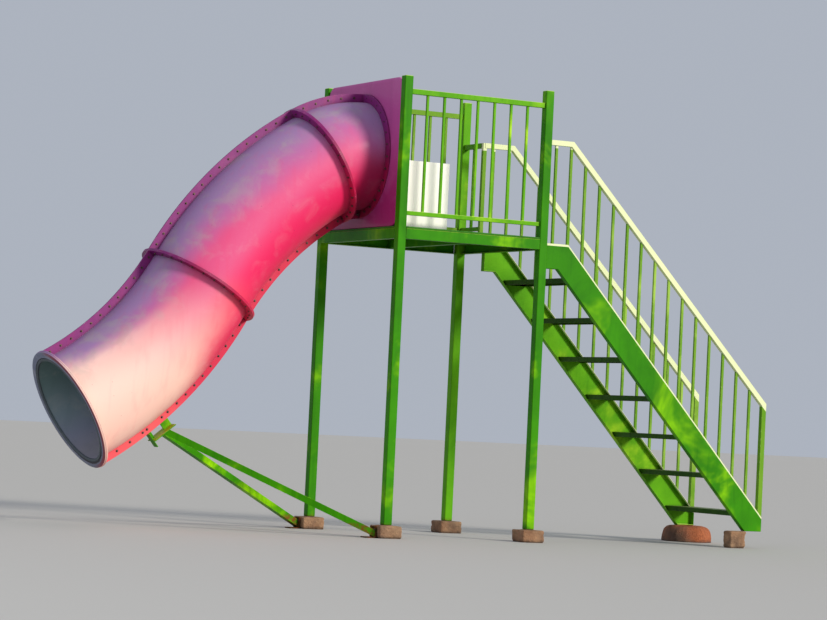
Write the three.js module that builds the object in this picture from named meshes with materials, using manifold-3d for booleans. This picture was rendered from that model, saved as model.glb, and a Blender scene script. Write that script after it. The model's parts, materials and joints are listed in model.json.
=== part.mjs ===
import * as THREE from 'three';
import { mergeVertices } from 'three/addons/utils/BufferGeometryUtils.js';
import Module from 'manifold-3d';

// Water slide tower: a steel platform on four posts, a stair up one side, and a
// tube of fibreglass half shells down the other. Millimetres, +Z up, +X towards
// the foot of the stair. Inside the tower group, x = 0, y = 0 is the centre of the
// front post on the slide side, and z = 0 is the top of the footing blocks.

const wasm = await Module();
wasm.setup();

// Platform
const bayLength = 1263; // post centres, slide side to stair side
const bayWidth = 1338; // post centres, front to rear
const postSize = 70;
const postTop = 3464;
const deckTop = 2300;
const deckThickness = 15;
const beamDepth = 80;
const beamFlange = 45;
const beamWall = 5;
const seat = 0.3; // clearance between pieces that touch

// Footing blocks
const blockSize = 200;
const groundLevel = -100;

// Platform railings
const railTopCentre = 3345;
const railTopSize = 40;
const railLowCentre = 2405;
const railLowSize = 32;
const balusterSize = 20;
const balustersPerBay = 7;

// Stair
const riserHeight = 300;
const treadRun = 280;
const treadCount = 7;
const stairWidth = 1000; // between the stringer planes
const stringerDepth = 200;
const stringerFlange = 50;
const stringerWall = 6;
const stringerTop = 2260; // level of the stub that meets the platform
const stringerBendX = 1497;
const stringerEndX = 3460;
const stringerFootLevel = 40;
const treadDepth = 215;
const treadLip = 40;
const treadSheet = 5;
const handrailPitch = THREE.MathUtils.degToRad(45.6);
const handrailSize = 40;
const newelSize = 32;

// Slide
const slideAxisY = bayWidth / 2;
const slideStartZ = 2871;
const tubeOuterRadius = 426;
const shellWall = 8;
const flangeRadius = 492;
const seamFlangeWall = 8;
const ringFlangeWall = 10;
const lipRadius = 490;
const panelTop = 3460;
const panelOuterX = -25;
const panelWall = 10;
const panelReturn = 40;
const panelCorner = 80;
const arcFacets = 16; // facets round each half shell
const arcSegments = arcFacets / 2; // a shape divides an arc into two facets a segment

// Each stretch of the slide is one arc: its length, and how far below the
// horizontal it points at its end.
const stretches = [
  { name: 'upper', length: 402, endAngle: 31.1, steps: 4 },
  { name: 'middle', length: 1404, endAngle: 60.5, steps: 8 },
  { name: 'lower', length: 1429, endAngle: 29.9, steps: 8 },
];

// Tube stand
const bracketAngle = THREE.MathUtils.degToRad(39.7);
const bracketUpstream = -144; // ends of the bracket along the slide
const bracketDownstream = 67;
const bracketSheet = 8;
const bracketDrop = 58; // from the seam flange's edge down to the cross plate
const bracketPlateWidth = 150;
const strutSize = 50;
const strutSpread = 42; // strut centre from the slide axis, at the bracket
const strutHead = -58; // where the struts meet the cross plate, along the slide
const strutFootX = -125;
const strutFootZ = -52;
const footAngleWall = 9;
const footAngleWidth = 100;
const footAngleReach = 90;

const tubeInnerRadius = tubeOuterRadius - shellWall;
const wallMiddleRadius = tubeInnerRadius + shellWall / 2;
const halfPost = postSize / 2;
const beamTop = deckTop - deckThickness - seat;
const stairPitch = Math.atan2(riserHeight, treadRun);

const finishes = {
  greenSteel: new THREE.MeshStandardMaterial({ color: 0x40a010, roughness: 0.45, metalness: 0.1 }),
  deck: new THREE.MeshStandardMaterial({ color: 0x4f9a2c, roughness: 0.6, metalness: 0.1 }),
  tread: new THREE.MeshStandardMaterial({ color: 0x2c6b16, roughness: 0.6, metalness: 0.1 }),
  shell: new THREE.MeshStandardMaterial({ color: 0xe65a96, roughness: 0.35, metalness: 0 }),
  panel: new THREE.MeshStandardMaterial({ color: 0x9a3c86, roughness: 0.4, metalness: 0 }),
  trough: new THREE.MeshStandardMaterial({ color: 0xe9e6e2, roughness: 0.4, metalness: 0 }),
  lip: new THREE.MeshStandardMaterial({ color: 0x8d86a0, roughness: 0.55, metalness: 0 }),
  concrete: new THREE.MeshStandardMaterial({ color: 0x9a7f66, roughness: 0.95, metalness: 0 }),
};

const group = new THREE.Group();
const tower = new THREE.Group();
group.add(tower);

function addPiece(name, geometry, finish, parent = tower) {
  const mesh = new THREE.Mesh(geometry, finish);
  mesh.name = name;
  parent.add(mesh);
  return mesh;
}

// Joining and cutting

function toSolid(geometry) {
  const bare = geometry.clone();
  bare.deleteAttribute('normal');
  bare.deleteAttribute('uv');
  const merged = mergeVertices(bare, 0.001);
  return new wasm.Manifold(new wasm.Mesh({
    numProp: 3,
    vertProperties: new Float32Array(merged.attributes.position.array),
    triVerts: new Uint32Array(merged.index.array),
  }));
}

function toGeometry(solid) {
  const mesh = solid.getMesh();
  const geometry = new THREE.BufferGeometry();
  geometry.setAttribute('position', new THREE.BufferAttribute(mesh.vertProperties, 3));
  geometry.setIndex(new THREE.BufferAttribute(mesh.triVerts, 1));
  const faceted = geometry.toNonIndexed();
  faceted.computeVertexNormals();
  return faceted;
}

function join(geometries) {
  return toGeometry(geometries.map(toSolid).reduce((sum, next) => sum.add(next)));
}

function cut(geometry, tools) {
  return toGeometry(tools.map(toSolid).reduce((rest, tool) => rest.subtract(tool), toSolid(geometry)));
}

// Plain forms

function box(low, high) {
  const size = high.map((value, axis) => value - low[axis]);
  return new THREE.BoxGeometry(...size)
    .translate(low[0] + size[0] / 2, low[1] + size[1] / 2, low[2] + size[2] / 2);
}

const alongX = new THREE.Matrix4().set(0, 0, 1, 0, 1, 0, 0, 0, 0, 1, 0, 0, 0, 0, 0, 1);
const alongY = new THREE.Matrix4().set(1, 0, 0, 0, 0, 0, -1, 0, 0, 1, 0, 0, 0, 0, 0, 1);

function outline(points) {
  return new THREE.Shape(points.map(([u, v]) => new THREE.Vector2(u, v)));
}

// A shape drawn in y and z, run from x0 to x1
function runX(shape, x0, x1, curveSegments = arcSegments) {
  return new THREE.ExtrudeGeometry(shape, { depth: x1 - x0, bevelEnabled: false, curveSegments })
    .applyMatrix4(alongX)
    .translate(x0, 0, 0);
}

// A shape drawn in x and z, run from y0 to y1
function runY(shape, y0, y1, curveSegments = arcSegments) {
  return new THREE.ExtrudeGeometry(shape, { depth: y1 - y0, bevelEnabled: false, curveSegments })
    .applyMatrix4(alongY)
    .translate(0, y1, 0);
}

// The same outline with every edge moved inwards by one distance; the points run
// anticlockwise
function insetPoints(points, distance) {
  return points.map((point, i) => {
    const before = points.at(i - 1);
    const after = points[(i + 1) % points.length];
    const inward = (from, to) => {
      const length = Math.hypot(to[0] - from[0], to[1] - from[1]);
      return [-(to[1] - from[1]) / length, (to[0] - from[0]) / length];
    };
    const first = inward(before, point);
    const second = inward(point, after);
    const scale = distance / (1 + first[0] * second[0] + first[1] * second[1]);
    return [point[0] + (first[0] + second[0]) * scale, point[1] + (first[1] + second[1]) * scale];
  });
}

// Posts and footings

const postPlaces = [
  { name: 'slide_front', x: 0, y: 0 },
  { name: 'stair_front', x: bayLength, y: 0 },
  { name: 'slide_rear', x: 0, y: bayWidth },
  { name: 'stair_rear', x: bayLength, y: bayWidth },
];

for (const { name, x, y } of postPlaces) {
  const post = box([-halfPost, -halfPost, seat], [halfPost, halfPost, postTop]);
  addPiece(`post_${name}`, post, finishes.greenSteel).position.set(x, y, 0);
  const half = blockSize / 2;
  const block = box([-half, -half, groundLevel], [half, half, 0]);
  addPiece(`footing_${name}`, block, finishes.concrete).position.set(x, y, 0);
}

// Beams: channels with their backs to the outside

function channelShape(back) {
  const depth = back * beamFlange;
  const wall = back * beamWall;
  return outline([
    [0, beamTop - beamDepth], [depth, beamTop - beamDepth],
    [depth, beamTop - beamDepth + beamWall], [wall, beamTop - beamDepth + beamWall],
    [wall, beamTop - beamWall], [depth, beamTop - beamWall], [depth, beamTop], [0, beamTop],
  ]);
}

const innerStart = halfPost + seat;
const innerEndX = bayLength - halfPost - seat;
const innerEndY = bayWidth - halfPost - seat;

addPiece('beam_front', runX(channelShape(1), innerStart, innerEndX), finishes.greenSteel)
  .position.y = -halfPost;
addPiece('beam_rear', runX(channelShape(-1), innerStart, innerEndX), finishes.greenSteel)
  .position.y = bayWidth + halfPost;
addPiece('beam_slide_side', runY(channelShape(1), innerStart, innerEndY), finishes.greenSteel)
  .position.x = -halfPost;
addPiece('beam_stair_side', runY(channelShape(-1), innerStart, innerEndY), finishes.greenSteel)
  .position.x = bayLength + halfPost;

const joistEndY = bayWidth + halfPost - beamWall - seat;
const joistStartY = -halfPost + beamWall + seat;
const joistInset = beamWall + seat;
const joist = box(
  [-beamFlange / 2, joistStartY, beamTop - beamDepth + joistInset],
  [beamFlange / 2, joistEndY, beamTop - joistInset],
);
addPiece('deck_joist', joist, finishes.greenSteel).position.x = bayLength / 2;

// Deck plate, notched round the posts

const deckOutline = [
  [innerStart, -halfPost], [bayLength - innerStart, -halfPost],
  [bayLength - innerStart, innerStart], [bayLength + halfPost, innerStart],
  [bayLength + halfPost, bayWidth - innerStart], [bayLength - innerStart, bayWidth - innerStart],
  [bayLength - innerStart, bayWidth + halfPost], [innerStart, bayWidth + halfPost],
  [innerStart, bayWidth - innerStart], [-halfPost, bayWidth - innerStart],
  [-halfPost, innerStart], [innerStart, innerStart],
];
const deckPlate = new THREE.ExtrudeGeometry(outline(deckOutline), {
  depth: deckThickness, bevelEnabled: false,
});
addPiece('deck_plate', deckPlate, finishes.deck).position.z = deckTop - deckThickness;

// Platform railings, drawn from 0 to their length along x

function railingPanel(length, count, topCentre) {
  const bar = (x0, x1, z0, z1, size) => box([x0, -size / 2, z0], [x1, size / 2, z1]);
  const pieces = [
    bar(0, length, topCentre - railTopSize / 2, topCentre + railTopSize / 2, railTopSize),
    bar(0, length, railLowCentre - railLowSize / 2, railLowCentre + railLowSize / 2, railLowSize),
  ];
  for (let i = 1; i <= count; i += 1) {
    const x = (length * i) / (count + 1) - balusterSize / 2;
    pieces.push(bar(x, x + balusterSize, railLowCentre, topCentre, balusterSize));
  }
  return join(pieces);
}

const frontRailing = railingPanel(innerEndX - innerStart, balustersPerBay, railTopCentre);
addPiece('railing_front', frontRailing, finishes.greenSteel).position.set(innerStart, 0, 0);
addPiece('railing_rear', frontRailing.clone(), finishes.greenSteel)
  .position.set(innerStart, bayWidth, 0);

// Stair stringers: bent channels with their toes turned in

const drop = riserHeight / treadRun;
const slopeDepth = stringerDepth / Math.cos(stairPitch); // measured straight down
const stringerStartX = bayLength + halfPost + seat;
const slopeTop = (x) => stringerTop - (x - stringerBendX) * drop;
const lowerBendX = stringerBendX + (stringerDepth - slopeDepth) / drop;
const footStartX = stringerBendX + (stringerTop - slopeDepth - stringerFootLevel) / drop;

const stringerPoints = [
  [stringerStartX, stringerTop - stringerDepth],
  [lowerBendX, stringerTop - stringerDepth],
  [footStartX, stringerFootLevel],
  [stringerEndX, stringerFootLevel],
  [stringerEndX, slopeTop(stringerEndX)],
  [stringerBendX, stringerTop],
  [stringerStartX, stringerTop],
];

function stringer(toes) {
  const half = stringerFlange / 2;
  const hollow = outline(insetPoints(stringerPoints, stringerWall));
  const pocket = toes > 0
    ? runY(hollow, -half + stringerWall, half + 1)
    : runY(hollow, -half - 1, half - stringerWall);
  return cut(runY(outline(stringerPoints), -half, half), [pocket]);
}

addPiece('stringer_front', stringer(1), finishes.greenSteel);
addPiece('stringer_rear', stringer(-1), finishes.greenSteel).position.y = stairWidth;

// Treads: folded plates between the stringer webs

const treadInset = stringerFlange / 2 - stringerWall - seat;
const treadStartY = -treadInset;
const treadEndY = stairWidth + treadInset;

function tread() {
  const half = treadDepth / 2;
  const inner = half - treadSheet;
  const fold = outline([
    [-half, -treadLip], [-inner, -treadLip], [-inner, -treadSheet], [inner, -treadSheet],
    [inner, -treadLip], [half, -treadLip], [half, 0], [-half, 0],
  ]);
  return runY(fold, treadStartY, treadEndY);
}

for (let step = 1; step <= treadCount; step += 1) {
  const z = groundLevel + riserHeight * step;
  const middle = z - treadLip / 2 + slopeDepth / 2;
  const x = stringerBendX + (stringerTop - middle) / drop;
  addPiece(`tread_${step}`, tread(), finishes.tread).position.set(x, 0, z);
}

// Stair railings: a bent handrail, an end post and balusters on the stringer

function stairRailing({ startX, bendX, endX, level, firstBaluster, count }) {
  const half = handrailSize / 2;
  const fall = Math.tan(handrailPitch);
  const railAt = (x) => level - Math.max(0, x - bendX) * fall;
  const bendShift = half * Math.tan(handrailPitch / 2);
  const slopeHalf = half / Math.cos(handrailPitch);
  const endEdge = endX + half;
  const handrail = outline([
    [startX, level - half], [bendX - bendShift, level - half],
    [endEdge, railAt(endEdge) - slopeHalf], [endEdge, railAt(endEdge) + slopeHalf],
    [bendX + bendShift, level + half], [startX, level + half],
  ]);
  const standAt = (x) => Math.min(stringerTop, slopeTop(x)) + seat;
  const upright = (x, width) => {
    const left = x - width / 2;
    const right = x + width / 2;
    const foot = [left, stringerBendX, right].filter((value) => value >= left && value <= right);
    const head = [right, left].map((value) => [value, railAt(value)]);
    return outline([...foot.map((value) => [value, standAt(value)]), ...head]);
  };
  const endPost = runY(upright(endX, handrailSize), -half, half);
  const bars = Array.from({ length: count }, (_, i) => {
    const x = firstBaluster + ((endX - firstBaluster) * i) / count;
    return runY(upright(x, balusterSize), -balusterSize / 2, balusterSize / 2);
  });
  return [runY(handrail, -half, half), endPost, ...bars];
}

const frontStairRailing = stairRailing({
  startX: stringerStartX, bendX: 1500, endX: 3440, level: 3060, firstBaluster: 1360, count: 15,
});
addPiece('stair_railing_front', join(frontStairRailing), finishes.greenSteel);

const newelX = bayLength; // the end post stands on the deck, above the stair-side beam
const newelTop = 3110;
const rearRailLevel = newelTop - handrailSize / 2;
const newel = box(
  [newelX - newelSize / 2, -newelSize / 2, deckTop + seat],
  [newelX + newelSize / 2, newelSize / 2, newelTop],
);
const rearStairRailing = stairRailing({
  startX: newelX, bendX: 1530, endX: 3440, level: rearRailLevel, firstBaluster: 1354, count: 14,
});
addPiece('stair_railing_rear', join([newel, ...rearStairRailing]), finishes.greenSteel)
  .position.y = stairWidth;

const infillStart = stairWidth + handrailSize / 2 + seat;
const infill = railingPanel(innerEndY - infillStart, 1, rearRailLevel).rotateZ(Math.PI / 2);
addPiece('railing_stair_side', infill, finishes.greenSteel).position.set(newelX, infillStart, 0);

// Stair footings: a block in front, a round pad at the rear

const stairBlockLength = 160;
const stairBlockWidth = 120;
const stairBlockX = stringerEndX - 236; // under the back of the foot, which overhangs it
const stairBlockY = 10;
const footingTop = stringerFootLevel - seat;
const stairBlock = box(
  [-stairBlockLength / 2, -stairBlockWidth / 2, groundLevel],
  [stairBlockLength / 2, stairBlockWidth / 2, footingTop],
);
addPiece('stair_footing_front', stairBlock, finishes.concrete)
  .position.set(stairBlockX, stairBlockY, 0);

const padX = 3408;
const padRadius = 225;
const padTopRadius = 204;
const padFacets = 28;
const padHeight = footingTop - groundLevel;
const stairPad = new THREE.CylinderGeometry(padTopRadius, padRadius, padHeight, padFacets)
  .rotateX(Math.PI / 2);
addPiece('stair_footing_rear', stairPad, finishes.concrete)
  .position.set(padX, stairWidth, groundLevel + padHeight / 2);

// Entry panel: a tray-shaped plate between the slide-side posts with the tube's hole in it

function roundedRectangle(y0, y1, z0, z1, radius) {
  const shape = new THREE.Shape();
  shape.moveTo(y0 + radius, z0);
  shape.lineTo(y1 - radius, z0);
  shape.absarc(y1 - radius, z0 + radius, radius, -Math.PI / 2, 0, false);
  shape.absarc(y1 - radius, z1 - radius, radius, 0, Math.PI / 2, false);
  shape.absarc(y0 + radius, z1 - radius, radius, Math.PI / 2, Math.PI, false);
  shape.absarc(y0 + radius, z0 + radius, radius, Math.PI, Math.PI * 1.5, false);
  return shape;
}

const panelBottom = deckTop + seat;
const panelEdges = [innerStart, innerEndY, panelBottom, panelTop];
const rimCornerSegments = 3;
const panelFace = roundedRectangle(...panelEdges, panelCorner);
const tubeHole = new THREE.Path();
tubeHole.absarc(slideAxisY, slideStartZ, tubeInnerRadius, 0, Math.PI * 2, true);
panelFace.holes.push(tubeHole);
const panelRim = roundedRectangle(...panelEdges, panelCorner);
panelRim.holes.push(roundedRectangle(
  innerStart + panelWall, innerEndY - panelWall,
  panelBottom + panelWall, panelTop - panelWall, panelCorner - panelWall,
));
const panelInnerX = panelOuterX + panelWall;
const entryPanel = join([
  runX(panelFace, panelOuterX, panelInnerX),
  runX(panelRim, panelOuterX + 1, panelOuterX + panelReturn, rimCornerSegments),
]);
addPiece('entry_panel', entryPanel, finishes.panel);

// Entry trough: the lower half of the same round between two upright skirts that stand
// on the deck, with a plate at each end. One end plate is bolted to the panel.

const troughEndX = 510;
const troughStartX = panelInnerX + seat;
const troughFlangeWall = 10;
const troughEndWall = 8;
const troughRim = 2832;
const skirtHalf = 478; // outside of a skirt, from the slide axis
const troughFoot = deckTop + seat;
const troughHalf = (radius, level) => {
  const drop = slideStartZ - level;
  return { reach: Math.sqrt(radius ** 2 - drop ** 2), tilt: Math.asin(drop / radius) };
};

function troughSection() {
  const under = troughRim - shellWall;
  const bore = troughHalf(tubeInnerRadius, troughRim);
  const back = troughHalf(tubeOuterRadius, under);
  const inside = skirtHalf - shellWall;
  const shape = new THREE.Shape();
  shape.moveTo(slideAxisY - skirtHalf, troughFoot);
  shape.lineTo(slideAxisY - skirtHalf, troughRim);
  shape.lineTo(slideAxisY - bore.reach, troughRim);
  shape.absarc(slideAxisY, slideStartZ, tubeInnerRadius, Math.PI + bore.tilt, Math.PI * 2 - bore.tilt, false);
  shape.lineTo(slideAxisY + skirtHalf, troughRim);
  shape.lineTo(slideAxisY + skirtHalf, troughFoot);
  shape.lineTo(slideAxisY + inside, troughFoot);
  shape.lineTo(slideAxisY + inside, under);
  shape.lineTo(slideAxisY + back.reach, under);
  shape.absarc(slideAxisY, slideStartZ, tubeOuterRadius, Math.PI * 2 - back.tilt, Math.PI + back.tilt, true);
  shape.lineTo(slideAxisY - inside, under);
  shape.lineTo(slideAxisY - inside, troughFoot);
  return shape;
}

function troughEndPlate() {
  // its edges lie in the middle of the walls around it
  const half = skirtHalf - shellWall / 2;
  const top = troughRim - shellWall / 2;
  const { reach, tilt } = troughHalf(wallMiddleRadius, top);
  const shape = new THREE.Shape();
  shape.moveTo(slideAxisY - half, troughFoot);
  shape.lineTo(slideAxisY - half, top);
  shape.lineTo(slideAxisY - reach, top);
  shape.absarc(slideAxisY, slideStartZ, wallMiddleRadius, Math.PI + tilt, Math.PI * 2 - tilt, false);
  shape.lineTo(slideAxisY + half, top);
  shape.lineTo(slideAxisY + half, troughFoot);
  return shape;
}

const wholeTrough = join([
  runX(troughSection(), troughStartX, troughEndX),
  runX(troughEndPlate(), troughStartX, troughStartX + troughFlangeWall),
  runX(troughEndPlate(), troughEndX - troughEndWall, troughEndX),
]);
const overPanelEdge = box(
  [panelOuterX, slideAxisY - skirtHalf - 1, panelBottom - 1],
  [panelOuterX + panelReturn + seat, slideAxisY + skirtHalf + 1, panelBottom + panelWall + seat],
);
const entryTrough = cut(wholeTrough, [overPanelEdge]);
addPiece('entry_trough', entryTrough, finishes.trough);

// Slide path: arcs one after another in the upright plane through the slide axis

class SlideArc extends THREE.Curve {
  constructor(start, startAngle, endAngle, length) {
    super();
    this.start = start;
    this.startAngle = startAngle;
    this.endAngle = endAngle;
    this.radius = length / (endAngle - startAngle);
    this.arcLength = length;
  }

  angleAt(t) {
    const trim = seat / 2 / this.arcLength;
    const along = trim + t * (1 - 2 * trim);
    return this.startAngle + (this.endAngle - this.startAngle) * along;
  }

  placeAt(angle) {
    return new THREE.Vector3(
      this.start.x - this.radius * (Math.sin(angle) - Math.sin(this.startAngle)),
      this.start.y,
      this.start.z + this.radius * (Math.cos(angle) - Math.cos(this.startAngle)),
    );
  }

  getPoint(t, target = new THREE.Vector3()) {
    return target.copy(this.placeAt(this.angleAt(t)));
  }

  frameAt(angle) {
    return {
      tangent: new THREE.Vector3(-Math.cos(angle), 0, -Math.sin(angle)),
      up: new THREE.Vector3(-Math.sin(angle), 0, Math.cos(angle)),
      across: new THREE.Vector3(0, 1, 0),
    };
  }

  // The section keeps its first axis up and its second across, without twisting
  computeFrenetFrames(segments) {
    const frames = Array.from({ length: segments + 1 }, (_, i) => this.frameAt(this.angleAt(i / segments)));
    return {
      tangents: frames.map((frame) => frame.tangent),
      normals: frames.map((frame) => frame.up),
      binormals: frames.map((frame) => frame.across),
    };
  }
}

// The half-ring section of a shell with its two seam flanges
function shellSection(side) {
  const near = side * seat / 2;
  const far = near + side * seamFlangeWall;
  const innerTilt = Math.asin(Math.abs(near) / tubeInnerRadius);
  const outerTilt = Math.asin(Math.abs(far) / tubeOuterRadius);
  const shape = new THREE.Shape();
  shape.absarc(0, 0, tubeInnerRadius, side * (Math.PI - innerTilt), side * innerTilt, side > 0);
  shape.lineTo(flangeRadius, near);
  shape.lineTo(flangeRadius, far);
  shape.absarc(0, 0, tubeOuterRadius, side * outerTilt, side * (Math.PI - outerTilt), side < 0);
  shape.lineTo(-flangeRadius, far);
  shape.lineTo(-flangeRadius, near);
  return shape;
}

// A half ring from the middle of the wall out to the flange's edge
function ringSection(side) {
  const near = seat / 2;
  const innerTilt = Math.asin(near / wallMiddleRadius);
  const outerTilt = Math.asin(near / flangeRadius);
  const shape = new THREE.Shape();
  shape.absarc(0, 0, wallMiddleRadius, side * (Math.PI - innerTilt), side * innerTilt, side > 0);
  shape.absarc(0, 0, flangeRadius, side * outerTilt, side * (Math.PI - outerTilt), side < 0);
  return shape;
}

function ringFlange(arc, t, side, direction) {
  const angle = arc.angleAt(t);
  const { tangent, up, across } = arc.frameAt(angle);
  const place = new THREE.Matrix4().makeBasis(up, across, tangent).setPosition(arc.placeAt(angle));
  return new THREE.ExtrudeGeometry(ringSection(side), {
    depth: ringFlangeWall, bevelEnabled: false, curveSegments: arcSegments,
  })
    .translate(0, 0, direction > 0 ? 0 : -ringFlangeWall)
    .applyMatrix4(place);
}

function halfShell(arc, steps, side) {
  const body = new THREE.ExtrudeGeometry(shellSection(side), {
    steps, bevelEnabled: false, curveSegments: arcSegments, extrudePath: arc,
  });
  return join([
    body,
    ringFlange(arc, 0, side, 1),
    ringFlange(arc, 1, side, -1),
  ]);
}

let start = new THREE.Vector3(panelOuterX - seat / 2, slideAxisY, slideStartZ);
let startAngle = 0;
const arcs = stretches.map(({ length, endAngle }) => {
  const arc = new SlideArc(start, startAngle, THREE.MathUtils.degToRad(endAngle), length);
  start = arc.placeAt(arc.endAngle);
  startAngle = arc.endAngle;
  return arc;
});

stretches.forEach(({ name, steps }, i) => {
  addPiece(`tube_${name}_front`, halfShell(arcs[i], steps, -1), finishes.shell);
  addPiece(`tube_${name}_rear`, halfShell(arcs[i], steps, 1), finishes.shell);
});

// Mouth rim: a ring with a rounded outer edge on the end of the lower shells

const rimWall = 14;
const rimEdgeRound = 5;
const rimOverhang = 4; // inside the shell's bore
const rimShoulder = rimWall * 0.6;
const lowerArc = arcs.at(-1);
const mouthFrame = lowerArc.frameAt(lowerArc.endAngle);
const mouthRim = new THREE.LatheGeometry([
  new THREE.Vector2(tubeInnerRadius - rimOverhang, 0),
  new THREE.Vector2(lipRadius, 0),
  new THREE.Vector2(lipRadius, rimShoulder),
  new THREE.Vector2(lipRadius - rimEdgeRound, rimWall),
  new THREE.Vector2(tubeInnerRadius, rimWall),
  new THREE.Vector2(tubeInnerRadius - rimOverhang, rimShoulder),
  new THREE.Vector2(tubeInnerRadius - rimOverhang, 0),
], arcFacets * 2);
const mouthPlace = new THREE.Matrix4()
  .makeBasis(mouthFrame.across, mouthFrame.tangent, mouthFrame.up)
  .setPosition(lowerArc.placeAt(lowerArc.endAngle).addScaledVector(mouthFrame.tangent, seat / 2));
addPiece('mouth_rim', mouthRim.applyMatrix4(mouthPlace), finishes.lip);

// Tube bracket: two cleats behind the lower seam flange, over a cross plate with an
// end plate. It is drawn with x down the slide, y towards the front and z up from the
// slide's centre line.

const bracketFrame = lowerArc.frameAt(bracketAngle);
const bracketPlace = new THREE.Matrix4()
  .makeBasis(bracketFrame.tangent, bracketFrame.across.clone().negate(), bracketFrame.up)
  .setPosition(lowerArc.placeAt(bracketAngle));
const cleatFace = seat / 2 + seamFlangeWall + seat;
const cleatTop = -tubeOuterRadius - 16; // clear of the shell
const upstreamCleatEnd = -66;
const downstreamCleatStart = 28;
const plateTop = -flangeRadius - bracketDrop;
const plateUnder = plateTop - bracketSheet;
const endPlateDrop = 56; // below the cross plate
const endPlateHalf = 35;
const cleat = (from, to) => box(
  [from, -cleatFace - bracketSheet, plateTop - 1],
  [to, -cleatFace, cleatTop],
);
const crossPlate = box(
  [bracketUpstream, -bracketPlateWidth / 2, plateUnder],
  [bracketDownstream, bracketPlateWidth / 2, plateTop],
);
const endPlate = box(
  [bracketDownstream - bracketSheet, -endPlateHalf, plateUnder - endPlateDrop],
  [bracketDownstream, endPlateHalf, -flangeRadius - 2],
);
const tubeBracket = join([
  crossPlate, endPlate,
  cleat(bracketUpstream, upstreamCleatEnd),
  cleat(downstreamCleatStart, bracketDownstream),
]).applyMatrix4(bracketPlace);
addPiece('tube_bracket', tubeBracket, finishes.greenSteel);

// Struts from the cross plate down to foot angles beside the slide-side footings

const farOut = 3000; // past anything that a strut is cut from
const abovePlate = box([-farOut, -farOut, plateUnder - seat], [farOut, farOut, farOut])
  .applyMatrix4(bracketPlace);
const footFaceX = -blockSize / 2 - seat - footAngleWall;
const pastFoot = box([footFaceX - seat, -farOut, -farOut], [farOut, farOut, farOut]);
const belowFoot = box([-farOut, -farOut, -farOut], [farOut, farOut, groundLevel + footAngleWall + seat]);

function strut(side) {
  const head = new THREE.Vector3(strutHead, -side * strutSpread, plateUnder)
    .applyMatrix4(bracketPlace);
  const foot = new THREE.Vector3(strutFootX, slideAxisY + side * slideAxisY, strutFootZ);
  const along = foot.clone().sub(head).normalize();
  const across = new THREE.Vector3(0, 0, 1).cross(along).normalize();
  const over = along.clone().cross(across);
  const reach = 120; // past both ends before the cut
  const length = head.distanceTo(foot) + 2 * reach;
  const middle = head.clone().add(foot).multiplyScalar(0.5);
  const bar = new THREE.BoxGeometry(length, strutSize, strutSize)
    .applyMatrix4(new THREE.Matrix4().makeBasis(along, across, over).setPosition(middle));
  return cut(bar, [abovePlate, pastFoot, belowFoot]);
}

const footAngleTop = 92; // above the ground, a little under the block's top
const footAngle = outline([
  [-footAngleReach, 0], [0, 0], [0, footAngleTop], [-footAngleWall, footAngleTop],
  [-footAngleWall, footAngleWall], [-footAngleReach, footAngleWall],
]);

for (const [name, side] of [['front', -1], ['rear', 1]]) {
  addPiece(`strut_${name}`, strut(side), finishes.greenSteel);
  addPiece(
    `strut_foot_${name}`,
    runY(footAngle, -footAngleWidth / 2, footAngleWidth / 2),
    finishes.greenSteel,
  ).position.set(-blockSize / 2 - seat, slideAxisY + side * slideAxisY, groundLevel);
}

// The whole tower stands on z = 0, centred on its own length and width

const bounds = new THREE.Box3().setFromObject(tower, true);
const centre = bounds.getCenter(new THREE.Vector3());
tower.position.set(-centre.x, -centre.y, -bounds.min.z);

export default group;
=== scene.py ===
import json
from math import asin, atan2, copysign, cos, hypot, inf, pi, radians, sin

import bmesh
import bpy
from mathutils import Matrix, Vector
from mathutils.noise import noise


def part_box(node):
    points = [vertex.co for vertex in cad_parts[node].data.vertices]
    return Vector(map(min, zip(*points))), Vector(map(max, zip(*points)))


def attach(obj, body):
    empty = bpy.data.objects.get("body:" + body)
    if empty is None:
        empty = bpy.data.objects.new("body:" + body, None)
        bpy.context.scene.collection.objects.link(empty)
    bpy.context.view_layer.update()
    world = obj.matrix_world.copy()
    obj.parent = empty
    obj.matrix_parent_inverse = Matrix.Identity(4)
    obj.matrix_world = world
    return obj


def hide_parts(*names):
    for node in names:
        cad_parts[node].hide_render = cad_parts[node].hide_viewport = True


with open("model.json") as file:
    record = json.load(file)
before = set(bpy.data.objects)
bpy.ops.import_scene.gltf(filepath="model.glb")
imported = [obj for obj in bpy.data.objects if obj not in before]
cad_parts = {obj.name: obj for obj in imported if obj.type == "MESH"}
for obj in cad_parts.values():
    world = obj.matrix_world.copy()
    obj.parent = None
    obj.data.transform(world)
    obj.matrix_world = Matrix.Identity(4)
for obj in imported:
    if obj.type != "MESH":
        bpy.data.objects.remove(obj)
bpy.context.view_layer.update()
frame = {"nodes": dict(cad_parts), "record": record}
nodes = frame["nodes"]
print("frame loaded:", len(nodes), "nodes")


# Helpers for node trees. A colour is given as red, green and blue, each up to 255.

def tint(colour):
    values = [channel / 255 for channel in colour]
    return tuple(v / 12.92 if v <= 0.04045 else ((v + 0.055) / 1.055) ** 2.4 for v in values) + (1.0,)


def put(tree, kind, inputs=None, **settings):
    # adds a node, with its inputs given by name or number as values, fields or sockets to link
    node = tree.nodes.new(kind)
    for key, value in settings.items():
        setattr(node, key, value)
    for socket, value in (inputs or {}).items():
        value = getattr(value, "socket", value)
        if isinstance(value, bpy.types.NodeSocket):
            tree.links.new(value, node.inputs[socket])
        else:
            node.inputs[socket].default_value = value
    return node


def sign(operation):
    return lambda first, second: first.calc(operation, first, second)


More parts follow.
